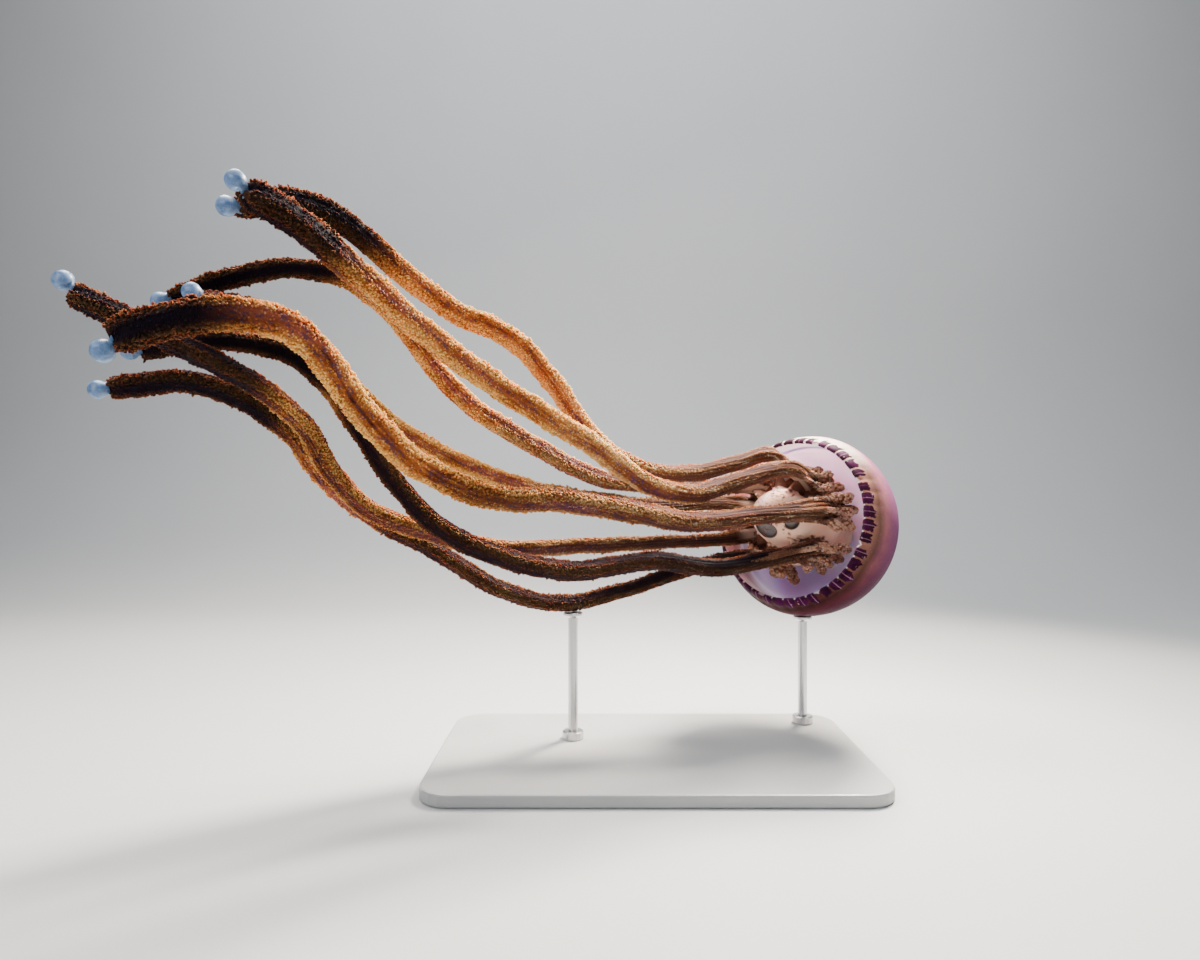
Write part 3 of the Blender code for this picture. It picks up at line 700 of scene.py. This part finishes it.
class Arm:
    """A mouth arm: its numbers, its centre line, its fingers' lines and its surface."""

    def __init__(self, number, root, width, twist, lean, painted_shade, route, lift=0.0):
        self.number, self.root, self.twist, self.painted_shade, self.lift = number, root, twist, painted_shade, lift
        self.width, self.lean = np.array(width) / 1000, np.array(lean)
        foot = [bell_point(SHOULDER_RADIUS, root, along)
                for along in (FLANGE_FRONT + 0.0003, SHOULDER_ALONG)]
        self.path = Path([*foot, *(np.array(route) / 1000)])
        self.length = self.path.length
        rng = random.Random(root)
        self.fingers = [self.finger(*numbers, rng) for numbers in FINGERS]

    def width_at(self, distance):
        return np.interp(distance / self.length, (0, 0.5, 1), self.width)

    def finger(self, share, along, extra, rng):
        """A finger's line: it runs back along the arm's outer face as a ridge, leaves it at the
        shoulder, splays out and ends freely in the bell."""
        share += rng.uniform(-0.12, 0.12)
        along += rng.uniform(-0.002, 0.002)
        reach = FINGER_REACH + extra + rng.uniform(-0.0015, 0.0015)
        points = []
        for distance, sunk in ((0.064, 0.58), (0.038, 0.78), (0.014, 1.0)):
            centre, tangent, _, _ = self.path.at(along + distance)
            out = around(self.root)
            out = unit(out - tangent * out.dot(tangent))
            points.append(centre + sunk * self.width_at(distance) / 2
                          * outward(math.radians(82 * share), out, np.cross(tangent, out)))
        degrees = FINGER_SPREAD * share
        points += [bell_point(0.93 * reach - 0.002, self.root + degrees * 0.8, along + 0.009),
                   bell_point(reach, self.root + degrees, along - 0.001)]
        return Path(points, MOUTH, 12)

    def reach(self, distance, angle, depth, groove=GROOVE):
        """How far the surface is from the centre line, at this depth under the outer shape."""
        wings = np.clip(distance / SHOULDER_LENGTH, 0, 1)
        radius = self.width_at(distance) / 2 / (1 - (1 - CREST_SHARE) * wings)
        crest = crest_of(angle)
        to_tip = self.length - distance - END_NOTCH * (1 - crest)
        round_end = np.sqrt(1 - np.clip(1 - to_tip / TIP_ROUNDING, 0, 1) ** 2)
        radius = radius * (0.38 + 0.62 * round_end)
        wave = 0.05 * np.sin(distance / WAVE_LENGTH * 2 * np.pi + self.number * 1.7 + angle) - 0.05
        furrows = (0.03 + 0.06 * ease(distance, 0.26, 0.08)) * (ridge_of(distance, angle) - 1)
        hollow = (1 - groove) * (1 - crest ** 0.7)
        return radius * (1 - wings * (hollow - wave * crest - furrows)) - depth

    def surface(self, distance, angle, depth):
        """Points of the surface, and the ways out of it and along the arm."""
        point, tangent, side, up = self.path.at(distance)
        out = outward(angle + 2 * math.pi * self.twist * distance / self.length, side, up)
        return point + self.reach(distance, angle, depth)[..., None] * out, out, tangent

    def bare_side(self, distance, out):
        """1 on the smooth side of the root, which faces the other arms."""
        return ease(-(out @ around(self.root)), 0.05, 0.55) * ease(distance, 0.058, 0.04)

    def looks(self, distance, angle, out, tint):
        """What the material reads: painted shade near the bell, on top there, and again at the end.
        """
        share, crest = distance / self.length, crest_of(angle)
        near, until, end = self.painted_shade
        # painted shade near the bell, and at the end, which is partly the arm's own dark brown
        painted_dark = np.maximum(near * ease(share, until + 0.1, until),
                          ease(share, end - 0.03, end + 0.06))
        # painted shade on the upward-facing side near the bell
        painted_dark = np.maximum(painted_dark, 0.62 * ease(out[..., 2], 0.0, 0.7) * ease(share, 0.44, 0.26))
        crest = crest + self.lift * ease(share, 0.3, 0.44) * ease(share, 0.86, 0.76)
        lie = distance + self.root, 0.01 * np.cos(angle), 0.01 * np.sin(angle)
        return looks_of(crest.shape, kind=(0.0, tint, crest), lie=lie,
                        place=(share, painted_dark, 0.45 * self.bare_side(distance, out)),
                        pit=(0.1, 0.0, ridge_of(distance, angle)))

    def core(self):
        """The surface under the coat: points, faces and looks."""
        count = int(self.length / CORE_SPACING)
        places = np.linspace(CORE_START, self.length - 0.0012, count)
        distance, angle = np.meshgrid(places, circle(CORE_SIDES), indexing="ij")
        points, out, _ = self.surface(distance, angle, 0.0007 + 0.0007 * crest_of(angle))
        return (points.reshape(-1, 3), tube_faces(count, CORE_SIDES),
                self.looks(distance, angle, out, 0.4))


def staggered(rng, rows, per_row, step, jitter):
    """Row numbers, and places along, of knobs in rows set half a step apart."""
    row, place = np.divmod(np.arange(rows * per_row), per_row)
    return row, (place + 0.5 * (row % 2) + rng.uniform(-jitter, jitter, row.size)) * step


def knobs(name, roots, out, along, width, height, lean, looks, uv, sides=4):
    """A coat of small knobs as one mesh; looks holds what the material reads at each root."""
    rng = np.random.default_rng(len(roots))
    count = len(roots)
    across = unit(np.cross(out, along))
    along = unit(np.cross(across, out))
    angle = circle(sides)[None] + rng.uniform(0, 6.28, (count, 1))
    ring = outward(angle, along[:, None], across[:, None])
    jitter = rng.uniform(0.78, 1.25, (count, sides, 1))
    wide = width[:, None, None]
    low = roots[:, None] + 0.85 * wide * ring - 0.4 * wide * out[:, None]
    middle = (roots + (0.7 * height)[:, None] * out + 0.6 * lean)[:, None]
    middle = middle + 0.98 * wide * ring * jitter
    top = roots + height[:, None] * out + lean
    points = np.concatenate((low, middle, top[:, None]), 1)
    size = 2 * sides + 1
    pattern = []
    for k in range(sides):
        m = (k + 1) % sides
        pattern += [(k, m, sides + m), (k, sides + m, sides + k), (sides + k, sides + m, 2 * sides)]
    faces = (np.arange(count)[:, None, None] * size + np.array(pattern)[None]).reshape(-1, 3)
    mesh = mesh_of(name, points.reshape(-1, 3), faces)
    looks = {key: np.repeat(values, size, 0) for key, values in looks.items()}
    looks["kind"][:, 0] = np.tile([0.0] * sides + [0.62] * sides + [1.0], count)
    give_looks(mesh, looks)
    # in the map each knob is a patch round its root's place
    spread = np.concatenate((np.ones(sides), np.full(sides, 0.6), [0.0])) * 0.0015
    around_root = np.concatenate((angle, angle, angle[:, :1]), 1)
    vertex_uv = uv[:, None] + on_circle(around_root, spread)
    give_uv(mesh, "OFBake", vertex_uv.reshape(-1, 2)[faces.ravel()])
    return mesh


def build_mouthlets(arm, finish):
    """The coat of one arm: rows of mouthlets, thick on the three wings and thin between."""
    rng = np.random.default_rng(40 + arm.number)
    per_row = int((arm.length - 0.02) / MOUTHLET_STEP)
    row, distance = staggered(rng, MOUTHLET_ROWS, per_row, MOUTHLET_STEP, 0.42)
    distance = 0.018 + distance
    loose = ease(distance, 0.1, 0.28)
    angle = row + rng.normal(0, 1, row.size) * (0.08 + 0.3 * loose)
    angle = angle / MOUTHLET_ROWS * 2 * math.pi
    distance = np.clip(distance, 0, arm.length - 0.0008)
    crest = crest_of(angle)
    clump = roughly(np.column_stack((distance * 170, on_circle(angle, 2.2))), arm.number)
    chance = (0.5 + 0.45 * crest + 0.3 * clump) * (0.62 + 0.38 * loose)
    roots, out, tangent = arm.surface(distance, angle, 0.0009 + 0.0006 * crest)
    clad = (rng.uniform(0, 1, row.size) < chance) & (arm.bare_side(distance, out) < 0.3)
    roots, out, tangent, distance, angle, crest, clump, loose = (
        x[clad] for x in (roots, out, tangent, distance, angle, crest, clump, loose))
    share = distance / arm.length
    size = rng.uniform(0.75, 1.3, len(roots)) * (0.7 + 0.3 * loose)
    width = MOUTHLET_WIDTH * size * (0.82 + 0.32 * crest)
    height = (0.0006 + 0.0013 * crest * np.clip(0.85 + 1.0 * clump, 0.3, 1.6)) * size
    height = height * (1 + 0.25 * ease(share, 0.86, 0.96))
    lean = (rng.normal(0, 0.45, (len(roots), 3)) + 0.35 * tangent) * (height * 0.5)[:, None]
    # round the arm's end they turn to point along it
    out = unit(out + 1.2 * ease(distance, arm.length - 0.008, arm.length)[:, None] * tangent)
    tint = np.clip(rng.normal(0.5, 0.28, len(roots)) + 0.25 * clump, 0, 1)
    uv = 0.004 + 0.992 * np.stack((angle / (2 * math.pi) % 1, share), 1)
    mesh = knobs(f"arm_{arm.number}_mouthlets", roots, out, tangent, width, height, lean,
                 arm.looks(distance, angle, out, tint), uv)
    add(mesh, finish, "arm_frill")


def build_club(arm, finish):
    """The clear club on the arm's end: a slightly lobed ball on a short neck."""
    end, tangent, side, up = arm.path.at(arm.length)
    lean = (arm.lean - tangent * arm.lean.dot(tangent)) * CLUB_LEAN
    rings, sides = 26, 36
    t = np.linspace(0, 1, rings)
    share = -CLUB_SEAT / CLUB_RADIUS + (1 + CLUB_SEAT / CLUB_RADIUS) * np.sin(math.pi / 2 * t)
    radius = CLUB_RADIUS * np.sqrt(np.clip(1 - share ** 2, 0, 1))
    radius[-1] = 0.00005
    ring = outward(circle(sides), side, up)
    lobes = 1 + 0.035 * np.cos(5 * circle(sides) + arm.number) * np.sin(np.pi * t)[:, None] ** 2
    centre = end + lean + tangent * CLUB_SEAT
    points = (centre + (share * CLUB_RADIUS)[:, None, None] * tangent
              + radius[:, None, None] * lobes[..., None] * ring)
    neck = end - 0.003 * tangent + 0.0045 * ring
    points = np.concatenate((neck[None], points)).reshape(-1, 3)
    mesh = mesh_of(f"arm_{arm.number}_club_jelly", points, tube_faces(rings + 1, sides))
    add(mesh, finish, "club_jelly", f"arm_{arm.number}_club")


# ---- arm disc, roots and fingers ----
def finger_radius(path, distance):
    """A thin ridge on the arm, swelling to a lumpy round end."""
    t = distance / path.length
    lumps = 1 + 0.13 * np.sin(distance * 1000 + path.length * 9e4) * ease(t, 0.6, 0.8)
    radius = 0.0022 + 0.0031 * ease(t, 0.72, 0.92)
    return lumps * radius * np.sqrt(np.clip((path.length + 0.0022 - distance) / 0.006, 0.05, 1))


def hub_parts(arms):
    """Closed shapes that the remesh melts into one skin."""
    points, faces = [], []

    def take(made, rings, sides):
        faces.extend(tube_faces(rings, sides, sum(len(one) for one in points)))
        points.append(made.reshape(-1, 3))

    # the stem, the flange and the disc: radius, and place along the axis
    stem = [(0.04, 0.006 - CEILING_HEIGHT), (0.03, -0.034), (0.026, -0.018), (0.028, -0.004),
            (0.042, 0.002), (0.047, 0.008), (0.0465, 0.014), (0.0425, 0.022), (0.0375, 0.03)]
    t = np.radians(np.linspace(0, 90, 14))
    dome = np.stack((DISC_RADIUS * np.cos(t),
                     DISC_SHOULDER + (DISC_END - DISC_SHOULDER) * np.sin(t)), 1)
    dome[-1, 0] = 0.0004
    profile = np.concatenate((stem, dome))
    degrees = np.linspace(0, 360, 64, endpoint=False)
    take(bell_point(profile[:, :1], degrees[None], profile[:, 1:]), len(profile), 64)
    for arm in arms:
        places = np.linspace(0, ROOT_LENGTH, 26)
        reach = arm.reach(places, np.full(26, math.pi / 3), 0.0012, ROOT_GROOVE)
        take(tube(arm.path, places, reach, 20), 26, 20)
        # a web that ties the root to the disc
        spots = np.linspace(0, WEB_LENGTH, 13)
        edge = arm.path.at(spots)[0]
        height = (edge - BELL_CENTRE) @ MOUTH
        seam = bell_point(0.8 * disc_radius(height, 0.95), arm.root, height)
        edge = seam + (edge - seam) * ease(spots, WEB_LENGTH + 0.004, WEB_LENGTH - 0.02)[:, None]
        half = WEB_THICKNESS / 2 * around(arm.root + 90)
        foot = 2.4 * half
        take(np.stack((edge - half, seam - foot, seam + foot, edge + half), 1), 13, 4)
        for finger in arm.fingers:
            spots = np.linspace(0, finger.length, 40)
            take(tube(finger, spots, finger_radius(finger, spots) * FINGER_CORE, 12), 40, 12)
    return np.concatenate(points), faces


def melted(points, faces):
    """One smooth skin round closed shapes: its points, normals and faces."""
    rough = place_in_scene("hub", mesh_of("hub", points, faces))
    melt = rough.modifiers.new("melt", "REMESH")
    melt.mode = "VOXEL"
    melt.voxel_size = MELT_VOXEL
    melt.use_smooth_shade = True
    soften = rough.modifiers.new("soften", "SMOOTH")
    soften.factor = 0.5
    soften.iterations = 5
    graph = bpy.context.evaluated_depsgraph_get()
    made = bpy.data.meshes.new_from_object(rough.evaluated_get(graph))
    bpy.data.objects.remove(rough)

    def read(key):
        values = np.empty(len(made.vertices) * 3, np.float32)
        made.vertices.foreach_get(key, values)
        return values.reshape(-1, 3).astype(float)

    skin = read("co"), read("normal"), [tuple(p.vertices) for p in made.polygons]
    bpy.data.meshes.remove(made)
    return skin


def to_openings(points):
    """How far each point is from the rim of the nearest opening; below 0 inside it."""
    pit = np.full(len(points), 0.1)
    for degrees, place, length, breadth in OPENINGS:
        away = points - on_disc(degrees, place)
        aside = away @ around(degrees + 90)
        rest = np.sqrt(np.maximum(np.sum(away ** 2, 1) - aside ** 2, 0))
        pit = np.minimum(pit, (np.hypot(aside / breadth, rest / length) - 1) * breadth)
    return pit


def hub_skin(arms):
    """The skin of the arm disc, the roots and the fingers: points, faces and looks."""
    hub, normals, faces = melted(*hub_parts(arms))
    # how far each point is from the flesh of the arms, fingers and webs, and the painted shade
    # that the nearest arm root or finger gives it
    nearest = np.full(len(hub), 1.0)
    painted_dark = np.zeros(len(hub))
    for arm in arms:
        lines = [(arm.path.at(np.linspace(0, 0.08, 60))[0], 0.0095)]
        lines += [(finger.at(np.linspace(0, finger.length, 40))[0], 0.0045)
                  for finger in arm.fingers]
        for line, radius in lines:
            gap = gap_to(line, hub) - radius
            painted_dark = np.where(gap < nearest, 0.35 * arm.painted_shade[0], painted_dark)
            nearest = np.minimum(nearest, gap)
    lie = in_bell(hub)
    for arm in arms:
        local = hub - BELL_CENTRE
        aside = np.abs(local @ around(arm.root + 90)) - WEB_THICKNESS
        within = disc_radius(lie[:, 0]) + 0.003 - local @ around(arm.root)
        nearest = np.minimum(nearest, np.maximum(aside, within))
    # the openings are sunk, each with a low rim, where no flesh lies over them
    pit = to_openings(hub)
    sunk = 0.0035 * ease(pit, 0.0003, -0.0025) - 0.0007 * ease(np.abs(pit - 0.001), 0.0022, 0)
    hub = hub - normals * (ease(nearest, 0, 0.002) * sunk)[:, None]
    spotted = ease(np.linalg.norm(hub - on_disc(*SPOTS), axis=1), 0.017, 0.006)
    frayed = nearest + 0.005 * roughly(lie * (60, 420, 420), 5)
    return hub, faces, looks_of(len(hub), kind=(0.0, 0.5, 0.55), lie=lie.T,
                                place=(-0.03, painted_dark, ease(frayed, 0.0004, 0.003)),
                                pit=(pit, spotted, 0.5))


def build_body(arms, finish):
    """One skin for the arm disc, the arms' roots and fingers, and the cores of the arms."""
    skins = [hub_skin(arms)] + [arm.core() for arm in arms]
    faces, first = [], 0
    for points, own_faces, _ in skins:
        faces += [tuple(v + first for v in face) for face in own_faces]
        first += len(points)
    mesh = mesh_of("body_skin", np.concatenate([points for points, _, _ in skins]), faces)
    give_looks(mesh, {key: np.concatenate([looks[key].reshape(-1, 3) for _, _, looks in skins])
                      for key in skins[0][2]})
    nodes = [f"arm_{arm.number}_{length}" for arm in arms
             for length in ("inner", "middle", "outer", "fingers")]
    add(mesh, finish, "arm_frill", "arm_disc", *nodes)


def finger_knobs(arm, which, column, rng):
    """The knobs that show on one finger: places, ways, sizes, tints, painted shade, places in the
    map.
    """
    finger = arm.fingers[which]
    length = finger.length
    row, distance = staggered(rng, KNOB_ROWS, int(length / KNOB_STEP) + 2, KNOB_STEP, 0.3)
    distance = np.clip(distance, 0, length + 0.0018)
    angle = (row + rng.uniform(-0.3, 0.3, row.size)) / KNOB_ROWS * 2 * math.pi
    point, tangent, side, up = finger.at(distance)
    out = outward(angle, side, up)
    # on the arm only the outer half of a ridge shows
    base = arm.path.at(np.clip(0.062 - distance, 0, 1))[0]
    shows = (np.sum(out * unit(point - base), 1) > -0.2) | (distance > 0.5 * length)
    shows &= rng.uniform(0, 1, row.size) > 0.4 * ease(distance, 0.55 * length, 0.85 * length)
    tipward = ease(distance, length - 0.003, length + 0.001)[:, None]
    beyond = np.clip(distance - length, 0, None)[:, None]
    root = point + beyond * tangent + out * (finger_radius(finger, distance)
                                             * FINGER_CORE)[:, None]
    # no knobs within the other fingers, and painted shade on those in the creases between them
    others = [other.at(np.linspace(0.5, 1, 30) * other.length)[0]
              for other in arm.fingers if other is not finger]
    gap = gap_to(np.concatenate(others), root)
    shows &= gap > 0.0032
    crease_shade = ease(gap, 0.0075, 0.004)
    size = rng.uniform(0.75, 1.3, row.size)
    t = np.clip(distance / length, 0, 1)
    swell = ease(t, 0.52, 0.85)
    uv = ((column + 0.08 + 0.84 * angle / (2 * math.pi) % 1) / 50, 0.01 + 0.97 * t)
    made = {"root": root, "out": unit(out + 0.9 * tipward * tangent), "along": tangent,
            "width": (0.0008 + 0.00085 * swell) * size,
            "height": (0.0007 + 0.0007 * swell) * size, "uv": np.stack(uv, 1),
            "tint": np.clip(rng.normal(0.62, 0.1, row.size) - 0.5 * crease_shade, 0, 1),
            "painted_shade": np.clip(arm.painted_shade[0] * 0.3 + 0.45 * crease_shade, 0, 1),
            "share": 0.03 - 0.13 * ease(t, 0.45, 0.75)}
    return {key: values[shows] for key, values in made.items()}


def build_finger_coat(arms, finish):
    """Cauliflower knobs over the fingers, and finer ones along their ridges."""
    rng = np.random.default_rng(7)
    made = [finger_knobs(arm, which, i * len(FINGERS) + which, rng)
            for i, arm in enumerate(arms) for which in range(len(FINGERS))]
    kept = {key: np.concatenate([one[key] for one in made]) for key in made[0]}
    roots = kept["root"]
    looks = looks_of(len(roots), kind=(0.0, kept["tint"], 0.55), lie=in_bell(roots).T,
                     place=(kept["share"], kept["painted_shade"], 0.0), pit=(0.1, 0.0, 0.5))
    lean = rng.normal(0, 0.35, roots.shape) * (kept["height"] * 0.5)[:, None]
    mesh = knobs("finger_knobs", roots, kept["out"], kept["along"], kept["width"],
                 kept["height"], lean, looks, kept["uv"], 5)
    add(mesh, finish, "arm_frill")


# ---- stage ----
def build_floor():
    """A pale floor that sweeps up into the backdrop."""
    bend, front, back, top, half_width = 0.8, -3.0, 0.9, 4.0, 4.0
    profile = [(front, 0.0), (back, 0.0)]
    profile += [(back + bend * math.sin(a), bend - bend * math.cos(a))
                for a in np.radians(np.linspace(6, 90, 15))]
    profile += [(back + bend, top)]
    points = np.array([(x, y, z) for y, z in profile for x in (-half_width, half_width)])
    faces = [(2 * i, 2 * i + 1, 2 * i + 3, 2 * i + 2) for i in range(len(profile) - 1)]
    mesh = mesh_of("studio_floor", points, faces)
    mesh.materials.append(floor_material())
    floor = place_in_scene("studio_floor", mesh)


def build_lights():
    """Soft area lights and a faint sky."""
    # each light: place, target, size, watts, spread in degrees and colour
    for name, place, target, size, power, spread, colour in (
            ("key", (0.6, 0.72, 1.4), (-0.05, 0.0, 0.3), 0.35, 45.0, 100, (1.0, 0.89, 0.74)),
            ("crown", (0.42, 0.24, 1.04), (0.18, 0.1, 0.3), 0.25, 3.2, 60, (1.0, 0.93, 0.84)),
            ("top", (-0.55, 0.25, 1.35), (-0.15, 0.0, 0.3), 0.5, 26.0, 180, (1.0, 0.91, 0.8)),
            ("mouth", (-0.7, -0.95, 0.85), (0.177, 0.088, 0.23), 0.6, 8.5, 180,
             (0.97, 0.97, 1.0)),
            ("backdrop", (0.0, 0.45, 2.1), (0.0, 1.7, 0.7), 2.4, 60.0, 180, (0.97, 0.98, 1.0))):
        light = bpy.data.lights.new(name, "AREA")
        light.size = size
        light.energy = power
        light.color = colour
        light.spread = math.radians(spread)
        lamp = place_in_scene(name, light)
        lamp.location = place
        lamp.rotation_euler = (Vector(target) - Vector(place)).to_track_quat("-Z", "Y").to_euler()
    world = bpy.data.worlds.new("studio")
    world.use_nodes = True
    sky = world.node_tree.nodes["Background"]
    sky.inputs["Color"].default_value = (0.8, 0.86, 0.92, 1.0)
    sky.inputs["Strength"].default_value = 0.15
    bpy.context.scene.world = world


def build_camera():
    view = bpy.data.cameras.new("camera")
    view.lens = 24.0
    view.sensor_width = 36.0
    camera = place_in_scene("camera", view)
    camera.location = (-0.05, -0.8, 0.28)
    camera.rotation_euler = (math.radians(90), 0, 0)
    bpy.context.scene.camera = camera


def dress_stand():
    paint, steel = paint_material(), steel_material()
    for name, finish in (("stand_base", paint), ("stand_rod_bell", steel),
                         ("stand_rod_arms", steel)):
        node = bpy.data.objects[name]
        node.data.materials.clear()
        node.data.materials.append(finish)
        node.data.shade_smooth()
        node.data.set_sharp_from_angle(angle=math.radians(30))


build_floor()
build_lights()
build_camera()
dress_stand()
frill, clear = frill_material(), club_material()
arms = [Arm(number, **numbers) for number, numbers in ARMS.items()]
build_bell(bell_material())
build_body(arms, frill)
build_finger_coat(arms, frill)
for arm in arms:
    build_mouthlets(arm, frill)
    build_club(arm, clear)
